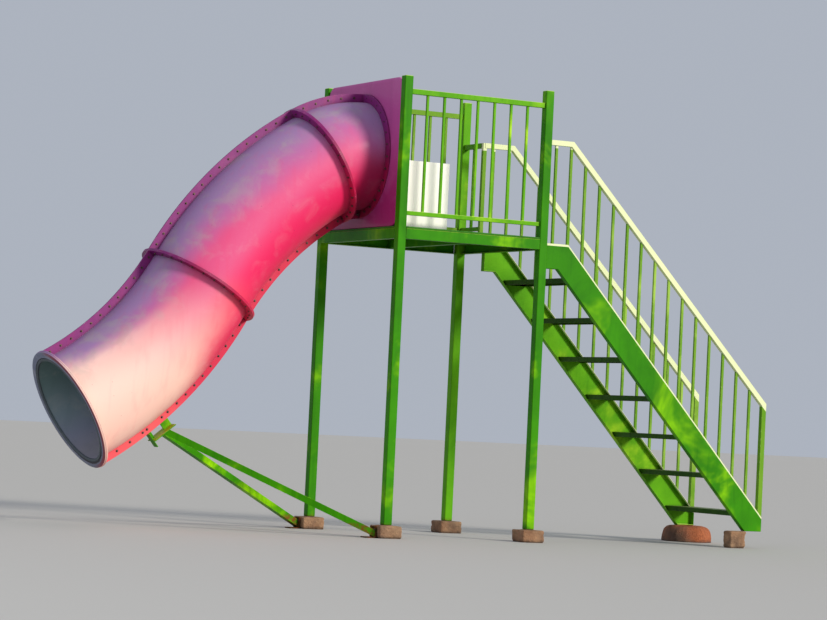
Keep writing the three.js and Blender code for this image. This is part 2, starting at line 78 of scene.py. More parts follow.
class Field:
    # a value that changes over the surface, worked on with the same signs as a number
    __add__, __sub__, __mul__ = sign("ADD"), sign("SUBTRACT"), sign("MULTIPLY")
    __truediv__, __lt__, __gt__ = sign("DIVIDE"), sign("LESS_THAN"), sign("GREATER_THAN")

    def __init__(self, tree, socket):
        self.tree, self.socket = tree, socket

    def __rsub__(self, other):
        return self.calc("SUBTRACT", other, self)

    def through(self, kind, inputs, output=0, **settings):
        return Field(self.tree, put(self.tree, kind, inputs, **settings).outputs[output])

    def calc(self, operation, first, second):
        return self.through("ShaderNodeMath", {0: first, 1: second}, operation=operation)

    def clamped(self):
        self.socket.node.use_clamp = True
        return self

    def span(self, fromLow, fromHigh, toLow=0.0, toHigh=1.0):
        inputs = {"Value": self, 1: fromLow, 2: fromHigh, 3: toLow, 4: toHigh}
        return self.through("ShaderNodeMapRange", inputs, interpolation_type="SMOOTHSTEP")

    def blend(self, low, high):
        # low where the field is 0 and high where it is 1
        low, high = (tint(value) if isinstance(value, tuple) else value for value in (low, high))
        return self.through("ShaderNodeMix", {0: self, 6: low, 7: high}, 2, data_type="RGBA")

    def grain(self, scale, detail, roughness, distortion=0.0):
        return self.through("ShaderNodeTexNoise", {
            "Vector": self, "Scale": scale, "Detail": detail, "Roughness": roughness,
            "Distortion": distortion,
        })

    def parts(self):
        node = put(self.tree, "ShaderNodeSeparateXYZ", {0: self})
        return {part.name: Field(self.tree, part) for part in node.outputs}

    def feed(self, socket):
        self.tree.links.new(self.socket, socket)


def source(tree, kind, output, **settings):
    return Field(tree, put(tree, kind, **settings).outputs[output])


def objectSpot(tree):
    return source(tree, "ShaderNodeTexCoord", "Object")


def normalOf(tree):
    return source(tree, "ShaderNodeNewGeometry", "Normal")


def attribute(tree, title):
    return source(tree, "ShaderNodeAttribute", "Fac", attribute_name=title)


def newGroup(name, titles, kind="ShaderNodeTree", **socketTypes):
    # its inputs are floats but for those with a type of their own
    tree = bpy.data.node_groups.new(name, kind)
    for title in titles:
        socketType = "NodeSocket" + socketTypes.get(title, "Float")
        tree.interface.new_socket(title, in_out="INPUT", socket_type=socketType)
    inputs = tree.nodes.new("NodeGroupInput").outputs
    return tree, {title: Field(tree, inputs[title]) for title in titles}


def closeGroup(tree, results, socketType="NodeSocketFloat"):
    for title in results:
        tree.interface.new_socket(title, in_out="OUTPUT", socket_type=socketType)
    ends = tree.nodes.new("NodeGroupOutput").inputs
    for title, field in results.items():
        field.feed(ends[title])
    return tree


# Shared effects. Each one is a group that every paint and gelcoat can use.

def mottled(spot, scale, contrast):
    layers = {"Broad": spot.grain(scale, 4.0, 0.6, 0.4), "Fine": spot.grain(scale * 11.0, 5.0, 0.65)}
    return {title: ((layer - 0.5) * contrast + 0.5).clamped() for title, layer in layers.items()}


def edgeWorn(spot, radius, amount, breakup):
    flat = normalOf(spot.tree)
    rounded = flat.through("ShaderNodeBevel", {"Radius": radius}, samples=4)
    match = flat.through("ShaderNodeVectorMath", {0: rounded, 1: flat}, "Value", operation="DOT_PRODUCT")
    edge = (1.0 - match).span(0.005, 0.12)
    return {"Mask": (edge * spot.grain(breakup, 4.0, 0.7).span(0.48, 0.66) * amount).clamped()}


def streaked(spot, scale, amount):
    pulled = spot.through("ShaderNodeVectorMath", {0: spot, 1: (1.0, 1.0, 0.07)}, operation="MULTIPLY")
    return {"Mask": (pulled.grain(scale, 3.0, 0.55).span(0.5, 0.72) * amount).clamped()}


def specked(spot, scale, size):
    cells = put(spot.tree, "ShaderNodeTexVoronoi", {"Vector": spot, "Scale": scale}).outputs
    draw = spot.through("ShaderNodeSeparateColor", {0: cells["Color"]})
    return {"Mask": (Field(spot.tree, cells["Distance"]) < size) * (draw > 0.55)}


def splashed(spot, base, reach, scale):
    # dirt and rust that climb from the ground, broken up by noise
    above = (spot.parts()["Z"] - base) / reach
    lifted = (1.0 - above) + (spot.grain(scale, 5.0, 0.7) - 0.62)
    return {"Mask": lifted.span(0.35, 0.95)}


def facingUp(spot, low, high):
    # 1 on faces that look up, 0 on those that look down
    return {"Mask": normalOf(spot.tree).parts()["Z"].span(low, high)}


def cornerDirtAndShade(spot, distance, amount, scale):
    # dirt, and painted shade, in corners and beside flanges, where ambient occlusion finds them
    bare = spot.through("ShaderNodeAmbientOcclusion", {"Distance": distance}, "AO", samples=6)
    broken = (1.0 - bare).span(0.18, 0.75) * spot.grain(scale, 4.0, 0.65).span(0.25, 0.7, 0.35, 1.0)
    return {"Mask": (broken * amount).clamped()}


effects = {}
for name, work, *titles in (
    ("mottle", mottled, "Scale", "Contrast"), ("edgeWear", edgeWorn, "Radius", "Amount", "Breakup"),
    ("rainStreaks", streaked, "Scale", "Amount"), ("specks", specked, "Scale", "Size"),
    ("groundSplash", splashed, "Base", "Reach", "Scale"), ("upward", facingUp, "From", "To"),
    ("grimeAndShade", cornerDirtAndShade, "Distance", "Amount", "Scale"),
):
    group, given = newGroup(name, titles)
    effects[name] = closeGroup(group, work(objectSpot(group), *given.values()))


def place(tree, title, **values):
    # a shared effect in a material: its mask, or its fields by name
    node = put(tree, "ShaderNodeGroup", values, node_tree=effects[title])
    fields = {output.name: Field(tree, output) for output in node.outputs}
    return fields.get("Mask", fields)


def newMaterial(name, **surface):
    material = bpy.data.materials.new(name)
    material.use_nodes = True
    tree = material.node_tree
    shader = tree.nodes["Principled BSDF"]
    for title, value in surface.items():
        shader.inputs[title.replace("_", " ")].default_value = value
    return material, tree, shader.inputs


def paintOver(surface, colour, layers):
    # each layer is a mask and the colour that it lets through
    for mask, over in layers:
        colour = mask.blend(colour, over)
    colour.feed(surface["Base Color"])


def addBump(surface, height, strength, distance):
    settings = {"Height": height, "Strength": strength, "Distance": distance}
    height.through("ShaderNodeBump", settings).feed(surface["Normal"])


# Painted steel

steelPaints = {
    # strengths: of wear, chips, dirt, faded paint with painted sunlight on top, painted sun patches, and dirt
    # with painted shade in corners
    "greenPaint": {
        "colour": (62, 150, 0), "fadedAndSunlit": (206, 234, 92), "deep": (30, 100, 0), "worn": (206, 226, 120),
        "grimeAndShade": (24, 52, 6), "sunPatchColour": (150, 218, 0), "roughness": 0.42,
        "strengths": (0.6, 0.4, 0.3, 0.8, 0.8, 0.7),
    },
    # a lighter copy of the green paint: painted sunlight on rails, a post and a stringer
    "railPaint": {
        "colour": (112, 184, 20), "fadedAndSunlit": (214, 238, 110), "deep": (56, 132, 0), "worn": (214, 230, 134),
        "grimeAndShade": (24, 52, 6), "sunPatchColour": (182, 228, 44), "roughness": 0.42,
        "strengths": (0.7, 0.4, 0.25, 0.85, 0.8, 0.7),
    },
    # a paler copy again: painted sunlight on the railings
    "paleRailPaint": {
        "colour": (122, 162, 48), "fadedAndSunlit": (240, 248, 204), "deep": (84, 142, 20), "worn": (226, 236, 170),
        "grimeAndShade": (30, 60, 8), "sunPatchColour": (168, 204, 84), "roughness": 0.45,
        "strengths": (0.8, 0.35, 0.25, 0.9, 0.75, 0.6),
    },
    "strutPaint": {
        "colour": (70, 158, 0), "fadedAndSunlit": (196, 236, 60), "deep": (30, 100, 0), "worn": (206, 226, 120),
        "grimeAndShade": (20, 34, 12), "sunPatchColour": (156, 222, 0), "roughness": 0.42,
        "strengths": (0.6, 0.6, 0.35, 0.75, 0.9, 0.25),
    },
    "footPaint": {
        "colour": (40, 62, 18), "fadedAndSunlit": (74, 84, 46), "deep": (24, 30, 16), "worn": (110, 92, 66),
        "grimeAndShade": (20, 18, 12), "sunPatchColour": (60, 70, 30), "roughness": 0.62,
        "strengths": (0.7, 0.9, 0.8, 0.4, 0.0, 0.75),
    },
    "deckPaint": {
        "colour": (56, 128, 26), "fadedAndSunlit": (110, 146, 84), "deep": (36, 92, 16), "worn": (150, 150, 130),
        "grimeAndShade": (34, 44, 20), "sunPatchColour": (96, 150, 60), "roughness": 0.55,
        "strengths": (0.9, 0.7, 0.7, 0.5, 0.2, 0.75),
    },
    # a darker copy of the green paint: painted shade on the treads
    "treadPaint": {
        "colour": (58, 98, 20), "fadedAndSunlit": (120, 134, 78), "deep": (26, 62, 8), "worn": (184, 176, 140),
        "grimeAndShade": (22, 34, 12), "sunPatchColour": (60, 120, 30), "roughness": 0.5,
        "strengths": (1.0, 0.8, 0.6, 0.5, 0.2, 0.75),
    },
}
rusting = {"rust": (112, 60, 28), "bareSteel": (92, 52, 28), "specks": 0.6}
# pale strips along the tops of sloping pieces: a painted highlight of sunlight
slopes = {
    # depth: of the painted sunlit strip along the top, measured upright; reach: back from the front face
    "colour": (238, 242, 196), "amount": 0.85,
    "stair_railing": {"depth": 0.062, "reach": 0.1}, "stringer": {"depth": 0.017, "reach": 0.02},
    "paints": {
        "stair_railing_front": "paleRailPaint", "stringer_front": "greenPaint",
        "stair_railing_rear": "paleRailPaint", "stringer_rear": "railPaint",
    },
}


def sunlitTopMask(tree, node):
    # 1 along the top of a sloping piece and its level start, where painted sunlight goes, 0 below
    corners = [vertex.co for vertex in nodes[node].data.vertices]
    farEnd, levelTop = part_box(node)[1].x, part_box(node)[1].z
    endTop = max(corner.z for corner in corners if corner.x > farEnd - 0.01)
    knee = max(corner.x for corner in corners if corner.z > levelTop - 0.001)
    strip = slopes[node.rsplit("_", 1)[0]]
    spot = objectSpot(tree).parts()
    slope = (farEnd - spot["X"]) * ((levelTop - endTop) / (farEnd - knee)) + endTop
    top = slope.calc("MINIMUM", slope, levelTop)
    near = spot["Y"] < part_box(node)[0].y + strip["reach"]
    return (spot["Z"] > top - strip["depth"]) * near


def steelPaint(name, look, sloping=None):
    material, tree, surface = newMaterial(name, Specular_IOR_Level=0.08)
    wearing, chipping, dirt, paintedSunlight, sunPatching, corners = look["strengths"]
    mottle = place(tree, "mottle", Scale=2.4, Contrast=1.3)
    # broad patches of painted dappled sunlight, in a lime colour
    sunPatches = place(tree, "mottle", Scale=1.7, Contrast=1.8)
    streaks = place(tree, "rainStreaks", Scale=26.0, Amount=dirt)
    wear = place(tree, "edgeWear", Radius=0.0035, Amount=wearing, Breakup=34.0)
    chips = place(tree, "edgeWear", Radius=0.005, Amount=chipping, Breakup=75.0)
    # dirt and painted shade in corners, in the dark grime colour
    grimeAndShade = place(tree, "grimeAndShade", Distance=0.035, Amount=corners, Scale=24.0)
    splash = place(tree, "groundSplash", Base=0.09, Reach=0.07, Scale=34.0)
    # faces that look up take a paler colour: faded paint and painted sunlight
    upward = place(tree, "upward", From=0.15, To=0.75)
    specks = place(tree, "specks", Scale=30.0, Size=0.05)
    layers = [
        (sunPatches["Broad"].span(0.52, 0.9) * sunPatching, look["sunPatchColour"]),
        (upward * paintedSunlight, look["fadedAndSunlit"]), (streaks, look["deep"]),
        (splash * mottle["Fine"].span(0.35, 0.65, 0.1, 0.9), rusting["rust"]),
        (specks * rusting["specks"], rusting["rust"]), (wear, look["worn"]),
        (chips, rusting["bareSteel"]), (grimeAndShade, look["grimeAndShade"]),
    ]
    # a cream strip along the top: painted sunlight
    if sloping:
        layers.append((sunlitTopMask(tree, sloping) * slopes["amount"], slopes["colour"]))
    paintOver(surface, mottle["Broad"].blend(look["deep"], look["colour"]), layers)
    rough = mottle["Fine"] * 0.24 + (look["roughness"] - 0.12)
    (rough + splash * 0.3).clamped().feed(surface["Roughness"])
    addBump(surface, mottle["Fine"], 0.12, 0.002)
    return material


# Fibreglass gelcoat. The tube is pale along its top, faded and with a painted sky reflection, and keeps its
# colour low on its flanks.

gelcoats = {
    # levels: colours from the top down, on top, at the shoulder, side and flank, and underneath
    # strengths: of specks, wear, clouds, scuffs, and dirt with painted shade in corners
    "tubeGelcoat": {
        # the lilac top is faded gelcoat with a painted sky reflection
        "levels": ((158, 120, 168), (184, 100, 156), (216, 76, 128), (232, 32, 94), (226, 20, 78)),
        "paintedSunlitColour": (250, 214, 196), "paintedSunlight": (2.0, 1.05), "chalk": (204, 178, 188),
        "dirt": (66, 18, 42), "roughness": 0.56, "strengths": (0.5, 0.5, 0.12, 0.4, 0.75),
    },
    "flangeGelcoat": {
        "levels": ((126, 30, 110), (128, 20, 90), (150, 24, 78), (204, 24, 76), (204, 18, 68)),
        "paintedSunlitColour": (250, 106, 104), "paintedSunlight": (1.35, 0.75), "chalk": (236, 160, 190),
        "dirt": (58, 8, 34), "roughness": 0.46, "strengths": (0.3, 0.8, 0.05, 0.0, 0.9),
    },
    "panelGelcoat": {
        "levels": ((196, 98, 164), (194, 88, 158), (192, 80, 154), (158, 46, 118), (92, 12, 66)),
        "low": (146, 26, 98), "lowness": (3.15, 2.55), "chalk": (204, 120, 178), "dirt": (60, 12, 50),
        "roughness": 0.42, "strengths": (0.35, 0.8, 0.18, 0.12, 0.85),
    },
    "whiteGelcoat": {
        "levels": ((246, 245, 240), (246, 245, 240), (248, 247, 240), (240, 239, 232), (222, 220, 212)),
        "chalk": (252, 250, 246), "dirt": (96, 90, 72), "roughness": 0.4,
        "strengths": (0.35, 0.3, 0.3, 0.06, 0.45),
    },
    "lipGelcoat": {
        "levels": ((134, 138, 158), (128, 134, 154), (122, 130, 150), (112, 118, 140), (92, 90, 104)),
        "scraped": (134, 38, 52), "chalk": (184, 182, 190), "dirt": (42, 38, 46), "roughness": 0.6,
        "strengths": (0.9, 1.0, 0.5, 0.3, 0.9),
    },
    # the lip's inner band: a dark joint at the groove, and painted shade from the bore beside it
    "lipInnerGelcoat": {
        "levels": ((84, 90, 98), (84, 92, 100), (80, 92, 98), (74, 84, 90), (60, 66, 72)),
        "chalk": (112, 116, 122), "dirt": (40, 36, 40), "roughness": 0.6,
        "strengths": (0.7, 0.5, 0.5, 0.2, 0.6),
    },
    # the bore's lining, painted darker than its pale gelcoat: painted shade inside the tube
    "linerGelcoat": {
        "levels": ((154, 148, 160), (142, 146, 166), (134, 152, 160), (114, 140, 140), (88, 112, 106)),
        "chalk": (164, 168, 168), "dirt": (70, 62, 54), "roughness": 0.45,
        "strengths": (0.6, 0.2, 0.5, 0.3, 0.5),
    },
}
weatherAndPaintedLight = {
    # heights or places along the slide between which each change runs
    "topNarrows": (2.75, 1.9), "topWidens": (-0.82, -0.60), "lowEdge": (1.5, 0.8),
    "highEdge": (2.0, 1.15), "panelShade": (-0.86, -0.62), "frontOfLip": (0.05, -0.2),
    "shade": (92, 4, 58), "scuff": (158, 154, 146), "speck": (70, 50, 60),
}


def gelcoat(name, look):
    material, tree, surface = newMaterial(name, Specular_IOR_Level=0.3, Coat_Weight=0.08, Coat_Roughness=0.2)
    specking, wearing, clouds, scuffing, corners = look["strengths"]
    mottle = place(tree, "mottle", Scale=1.5, Contrast=1.2)
    blotch = place(tree, "mottle", Scale=5.0, Contrast=1.5)
    streaks = place(tree, "rainStreaks", Scale=14.0, Amount=0.3)
    specks = place(tree, "specks", Scale=13.0, Size=0.04)
    wear = place(tree, "edgeWear", Radius=0.0025, Amount=wearing, Breakup=16.0)
    # dirt and painted shade in corners and beside flanges, in the dirt colour
    grimeAndShade = place(tree, "grimeAndShade", Distance=0.05, Amount=corners, Scale=12.0)
    spot = objectSpot(tree).parts()
    bySection = "paintedSunlitColour" in look

    def along(axis, change, *values):
        return spot[axis].span(*weatherAndPaintedLight[change], *values)

    rise = attribute(tree, "sectionRise") if bySection else normalOf(tree).parts()["Z"]
    rise = rise + (mottle["Broad"] - 0.5) * 0.35
    topRise = rise
    if bySection:
        # the pale top, faded and with a painted sky reflection, narrows on the way down and widens beside the
        # panel
        narrower = along("Z", "topNarrows", 0.0, 0.5) - along("X", "topWidens", 0.0, 0.4)
        topRise = rise - narrower * (1.0 - rise * rise)
    top, shoulder, side, flank, under = look["levels"]
    layers = [
        (rise.span(-0.5, 0.15), side), (topRise.span(0.05, 0.6), shoulder), (topRise.span(0.45, 0.9), top),
    ]
    if "low" in look:
        layers.append((spot["Z"].span(*look["lowness"]) * 0.85, look["low"]))
    layers.append((blotch["Broad"].span(0.5, 0.85) * clouds, look["chalk"]))
    if bySection:
        # the lowest stretch is painted pale on its sides, a painted pool of sunlight, down to its lower edge
        # near the mouth
        lowered = rise + along("Z", "lowEdge", 0.0, 0.55)
        belowSunlitEdge = along("Z", "highEdge", 0.66, 1.0) - rise
        sunlitStretch = spot["Z"].span(*look["paintedSunlight"], 0.0, 0.85) * lowered.span(-0.85, -0.2)
        shaded = along("X", "panelShade") * rise.span(0.35, -0.35)
        layers += [
            (sunlitStretch * belowSunlitEdge.span(0.02, 0.3), look["paintedSunlitColour"]), (shaded * 0.65, weatherAndPaintedLight["shade"]),
        ]
    scuffed = blotch["Broad"].span(0.4, 0.8) * rise.span(0.2, 0.9)
    layers += [
        (scuffed * scuffing, weatherAndPaintedLight["scuff"]), (streaks * 0.3, under),
        (specks * specking, weatherAndPaintedLight["speck"]), (wear, look["chalk"]), (grimeAndShade, look["dirt"]),
    ]
    if "scraped" in look:
        # the red below shows along the outer part of the lip on the front side
        bare = attribute(tree, "outerPart").span(0.35, 0.6) * along("Y", "frontOfLip")
        ragged = attribute(tree, "scrape") + blotch["Fine"] * 0.5
        layers += [(bare * 0.85, look["scraped"]), (ragged.span(0.62, 0.82), look["dirt"])]
    paintOver(surface, rise.span(-1.0, -0.45).blend(under, flank), layers)
    (blotch["Fine"] * 0.2 + (look["roughness"] - 0.1)).feed(surface["Roughness"])
    addBump(surface, mottle["Broad"], 0.2, 0.01)
    return material


# Rough cast concrete and the dark fasteners

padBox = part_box("stair_footing_rear")
castings = {
    "castConcrete": {"dark": (74, 56, 46), "light": (190, 152, 116), "stain": (150, 96, 58)},
    "stainedConcrete": {
        "dark": (58, 42, 40), "light": (150, 112, 88), "stain": (150, 78, 40),
        "rustFrom": (padBox[0].x + padBox[1].x) / 2 - 0.12, "rustWidth": 0.16, "shadeEdge": 0.05,
    },
}
# the first tint paints shade on the pad's dark side
castingTints = {
    "paintedShade": (62, 46, 42), "rust": ((112, 48, 20), (214, 108, 44)), "dust": (134, 112, 92),
    "splash": (66, 54, 46), "speck": (84, 70, 58), "worn": (206, 180, 150),
}
boltTints = ((58, 34, 34), (120, 96, 92))


def concrete(name, look):
    material, tree, surface = newMaterial(name, Roughness=0.92)
    mottle = place(tree, "mottle", Scale=7.0, Contrast=2.4)
    blotch = place(tree, "mottle", Scale=3.3, Contrast=2.6)
    specks = place(tree, "specks", Scale=60.0, Size=0.16)
    wear = place(tree, "edgeWear", Radius=0.006, Amount=0.8, Breakup=26.0)
    splash = place(tree, "groundSplash", Base=0.0, Reach=0.06, Scale=30.0)
    tints, layers = castingTints, [(blotch["Broad"] * 0.55, look["stain"])]
    if "rustFrom" in look:
        # one side of the pad is rust-brown, painted lighter as sunlit, and the other is painted dark as shade
        start, edge = look["rustFrom"], look["shadeEdge"]
        along = objectSpot(tree).parts()["X"] + blotch["Broad"] * 0.12
        rust = mottle["Fine"].blend(*tints["rust"])
        layers += [
            (along.span(start + edge, start - edge, 0.0, 0.75), tints["paintedShade"]),
            (along.span(start, start + look["rustWidth"], 0.0, 0.85), rust),
        ]
    layers += [
        (mottle["Fine"] * 0.35, tints["dust"]), (splash * 0.7, tints["splash"]),
        (specks * 0.6, tints["speck"]), (wear, tints["worn"]),
    ]
    paintOver(surface, mottle["Broad"].blend(look["dark"], look["light"]), layers)
    addBump(surface, mottle["Fine"], 0.7, 0.008)
    return material


def boltSteel(name):
    material, tree, surface = newMaterial(name, Metallic=0.7)
    mottle = place(tree, "mottle", Scale=40.0, Contrast=1.6)
    mottle["Broad"].blend(*boltTints).feed(surface["Base Color"])
    (mottle["Fine"] * 0.4 + 0.3).feed(surface["Roughness"])
    return material


finishes = {name: steelPaint(name, look) for name, look in steelPaints.items()}
for node, paint in slopes["paints"].items():
    finishes[node] = steelPaint("paint_" + node, steelPaints[paint], node)
finishes.update({name: gelcoat(name, look) for name, look in gelcoats.items()})
finishes.update({name: concrete(name, look) for name, look in castings.items()})
finishes["boltSteel"] = boltSteel("boltSteel")
print("finishes made:", len(finishes))


# Turning mesh work into finished pieces

def newObject(name, data):
    made = bpy.data.objects.new(name, data)
    bpy.context.scene.collection.objects.link(made)
    return made


def coat(mesh, *titles):
    for title in titles:
        mesh.materials.append(finishes[title])


def finishedPiece(name, mesh, stoodFor=()):
    piece = newObject(name, mesh)
    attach(piece, "root")
    if stoodFor:
        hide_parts(*stoodFor)


def bake(source, name):
    # the object with its modifiers, as a plain mesh
    graph = bpy.context.evaluated_depsgraph_get()
    mesh = bpy.data.meshes.new_from_object(source.evaluated_get(graph))
    mesh.name = name
    bpy.data.objects.remove(source)
    return mesh


def bevelled(mesh, width, segments, angle=30):
    # the mesh with its sharp edges rounded
    mesh.shade_smooth()
    source = newObject("rounding", mesh)
    rounding = source.modifiers.new("rounding", "BEVEL")
    rounding.width = width
    rounding.segments = segments
    rounding.limit_method = "ANGLE"
    rounding.angle_limit = radians(angle)
    rounding.harden_normals = True
    return bake(source, mesh.name)


def smoothed(mesh, angle):
    mesh.shade_smooth()
    mesh.set_sharp_from_angle(angle=radians(angle))


def reworked(mesh, work):
    form = bmesh.new()
    form.from_mesh(mesh)
    work(form)
    form.to_mesh(mesh)
    form.free()
    return mesh


def meshFrom(name, points, faces):
    def close(form):
        bmesh.ops.remove_doubles(form, verts=form.verts, dist=0.00002)
        bmesh.ops.recalc_face_normals(form, faces=form.faces)

    mesh = bpy.data.meshes.new(name)
    mesh.from_pydata(points, [], faces)
    return reworked(mesh, close)


def turnsOf(count):
    return [2 * pi * k / count for k in range(count)]


def loopsMesh(name, loops, isRing=False, caps=()):
    # loops of points, each joined to the next, and in a ring the last to the first
    count = len(loops[0])
    faces = []
    for k in range(len(loops) if isRing else len(loops) - 1):
        base, following = k * count, (k + 1) % len(loops) * count
        for j in range(count):
            after = (j + 1) % count
            faces.append((base + j, base + after, following + after, following + j))
    return meshFrom(name, [point for loop in loops for point in loop], faces + list(caps))


def copyOf(node):
    # a node's solid with its loose triangles joined into whole flat faces
    def flatten(form):
        bmesh.ops.dissolve_limit(form, angle_limit=radians(1), verts=form.verts, edges=form.edges)

    given = nodes[node].data
    mesh = meshFrom(node, [v.co for v in given.vertices], [tuple(face.vertices) for face in given.polygons])
    return reworked(mesh, flatten)


# Steelwork: each bar, plate and channel with its edges rounded as rolled and folded steel is

steelwork = {
    "roundedEdges": {
        "post": 0.006, "beam": 0.0035, "deck_joist": 0.004, "deck_plate": 0.003, "railing": 0.003,
        "stringer": 0.004, "tread": 0.003, "stair_railing": 0.003, "tube_bracket": 0.0025,
        "strut_foot": 0.003, "strut": 0.005,
    },
    "ownPaints": {
        "railing_front": "railPaint", "railing_rear": "paleRailPaint", "railing_stair_side": "railPaint",
        "post_stair_rear": "railPaint", "strut_front": "strutPaint", "strut_rear": "strutPaint",
        "tube_bracket": "strutPaint", "strut_foot_front": "footPaint", "strut_foot_rear": "footPaint",
    },
    "bevelSegments": 2,
}


def makeSteelwork():
    slots = {row["node"]: row["material_slot"] for row in frame["record"]["subparts"]}
    starts = sorted(steelwork["roundedEdges"], key=len, reverse=True)
    for node, slot in slots.items():
        if not slot.endswith("_steel"):
            continue
        paint = slot.replace("_steel", "Paint")
        width = next(steelwork["roundedEdges"][start] for start in starts if node.startswith(start))
        mesh = bevelled(copyOf(node), width, steelwork["bevelSegments"])
        coat(mesh, node if node in finishes else steelwork["ownPaints"].get(node, paint))
        finishedPiece("steel_" + node, mesh, [node])


makeSteelwork()
print("steelwork rounded")


# Slide path: arcs one after another in the upright plane y = 0

slide = {
    # each stretch: its name, its length and how far it points down at its end
    "stretches": (("upper", 0.402, 31.1), ("middle", 1.404, 60.5), ("lower", 1.429, 29.9)),
    "outerRadius": 0.426, "innerRadius": 0.418, "flangeRadius": 0.492, "seamFlange": 0.008,
    "ringFlange": 0.010, "seat": 0.0003, "draft": 0.002, "root": 0.02, "rounding": 0.0022,
    "arcSteps": 40, "stepLength": 0.035,
    "rootTurns": 0.045, "ringTurns": (0.034, 0.055),  # extra points beside the seam, as angles
}
slideStart = Vector((
    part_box("entry_panel")[0].x, 0.0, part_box("tube_upper_front")[1].z - slide["flangeRadius"],
))


class SlideArc:
    def __init__(self, start, startAngle, endAngle, length):
        self.start, self.startAngle, self.length = start, startAngle, length
        self.radius = length / (endAngle - startAngle)

    def frameAt(self, along):
        # the point on the centre line, the way down the slide, and the way up from it
        angle = self.startAngle + along / self.radius
        point = self.start + Vector((
            -self.radius * (sin(angle) - sin(self.startAngle)), 0.0,
            self.radius * (cos(angle) - cos(self.startAngle)),
        ))
        downSlide = Vector((-cos(angle), 0.0, -sin(angle)))
        up = Vector((-sin(angle), 0.0, cos(angle)))
        return point, downSlide, up


slideArcs, start, angle = {}, slideStart, 0.0
for name, length, endTurn in slide["stretches"]:
    endAngle = radians(endTurn)
    slideArcs[name] = SlideArc(start, angle, endAngle, length)
    start, angle = slideArcs[name].frameAt(length)[0], endAngle


# Half shells: an inner and an outer row of points round each section, swept down the slide

def shellRows(side, ring, tipRadius):
    # (up, across) for the two rows; the rows meet at the flange tips
    outer, inner = slide["outerRadius"], slide["innerRadius"]
    near = slide["seat"] / 2
    far = near + slide["seamFlange"]
    steps = slide["arcSteps"]
    middle = [pi * k / steps for k in range(1, steps)]
    innerTilt = asin(near / inner)
    arc = lambda radius, angles: [(radius * cos(a), side * radius * sin(a)) for a in angles]
    innerRow = [(tipRadius, side * near), (outer, side * near)]
    innerRow += arc(inner, [innerTilt, *middle, pi - innerTilt])
    innerRow += [(-outer, side * near), (-tipRadius, side * near)]
    root = slide["ringTurns"] if ring else (asin(far / outer), slide["rootTurns"])
    turns = [*root, *middle, *(pi - a for a in reversed(root))]
    outerRow = [(tipRadius, side * far)]
    outerRow += arc(tipRadius if ring else outer, turns)
    outerRow += [(-tipRadius, side * far)]
    return innerRow, outerRow


def sweep(name, sections):
    # each section is (rows, toPoint), where toPoint turns (up, across) into a point
    loops = [[toPoint(*spot) for spot in (*rows[0], *reversed(rows[1]))] for rows, toPoint in sections]
    loop = len(loops[0])
    caps = [
        (base + k, base + k + 1, base + loop - 2 - k, base + loop - 1 - k)
        for base in (0, (len(sections) - 1) * loop) for k in range(loop // 2 - 1)
    ]
    return loopsMesh(name, loops, caps=caps)


def makeHalfShell(stretch, side, label):
    arc = slideArcs[stretch]
    gap, ring = slide["seat"] / 2, slide["ringFlange"]
    draft = slide["draft"]  # the slope of a ring flange's back
    start, end = gap, arc.length - gap
    spots = [(start, True), (start + ring, True), (start + ring + draft, False)]
    count = round(arc.length / slide["stepLength"])
    first, last = start + ring + slide["root"], end - ring - slide["root"]
    spots += [(first + (last - first) * k / count, False) for k in range(count + 1)]
    spots += [(end - ring - draft, False), (end - ring, True), (end, True)]

    def sectionAt(along, isRing):
        point, _, up = arc.frameAt(along)
        rows = shellRows(side, isRing, slide["flangeRadius"])
        return rows, lambda rise, across: point + up * rise + Vector((0.0, across, 0.0))

    node = f"tube_{stretch}_{label}"
    shape = sweep(node, [sectionAt(*spot) for spot in spots])
    mesh = bevelled(shape, slide["rounding"], segments=2, angle=50)
    coat(mesh, "tubeGelcoat", "linerGelcoat", "flangeGelcoat")
    dressShell(mesh, arc)
    finishedPiece("shell_" + node, mesh, [node])


def dressShell(mesh, arc):
    # the bore gets its lining, darkened as painted shade, and the flanges their own colour, but for the one
    # at the mouth
    hub = arc.start + Vector((
        arc.radius * sin(arc.startAngle), 0.0, -arc.radius * cos(arc.startAngle),
    ))
    bend = copysign(1.0, arc.radius)
    mouthStart = arc.length - 2 * slide["ringFlange"] if arc is slideArcs["lower"] else inf

    def reachOf(spot):
        # how far a spot is from the centre line, up and across, and which way is up there
        spoke = Vector((spot.x - hub.x, 0.0, spot.z - hub.z))
        return (spoke.length - abs(arc.radius)) * bend, spot.y, spoke.normalized() * bend

    for face in mesh.polygons:
        up, across, upWay = reachOf(face.center)
        reach = hypot(up, across)
        along = (atan2(-upWay.x, upWay.z) - arc.startAngle) * arc.radius
        outward = upWay * (up / reach) + Vector((0.0, across / reach, 0.0))
        isBore = reach < slide["innerRadius"] + 0.002 and outward.dot(face.normal) < -0.7
        isFlange = reach > slide["outerRadius"] + 0.004 and along < mouthStart
        face.material_index = 1 if isBore else 2 if isFlange else 0
    # 1 on top of the tube and -1 below it
    rises = mesh.attributes.new("sectionRise", "FLOAT", "POINT")
    for item, vertex in zip(rises.data, mesh.vertices):
        up, across, _ = reachOf(vertex.co)
        item.value = up / hypot(up, across)


for stretchName in slideArcs:
    makeHalfShell(stretchName, -1, "front")
    makeHalfShell(stretchName, 1, "rear")
print("tube swept")


# The mouth's rim, turned round the slide's axis

mouth = {
    "outerRadius": 0.490, "innerRadius": 0.414, "shoulder": 0.418, "thickness": 0.014,
    "grooveRadius": 0.437, "grooveWidth": 0.0035, "grooveDepth": 0.005, "chipDepth": 0.009,
    "scrapeWidth": 0.03, "back": 0.0005, "steps": 220, "crease": 38,
    # how fine the chips are, and how far down the lip the chips and the scrapes start
    "chipScales": (26.0, 9.0), "chipsFrom": 0.35, "scrapesFrom": 0.2,
}


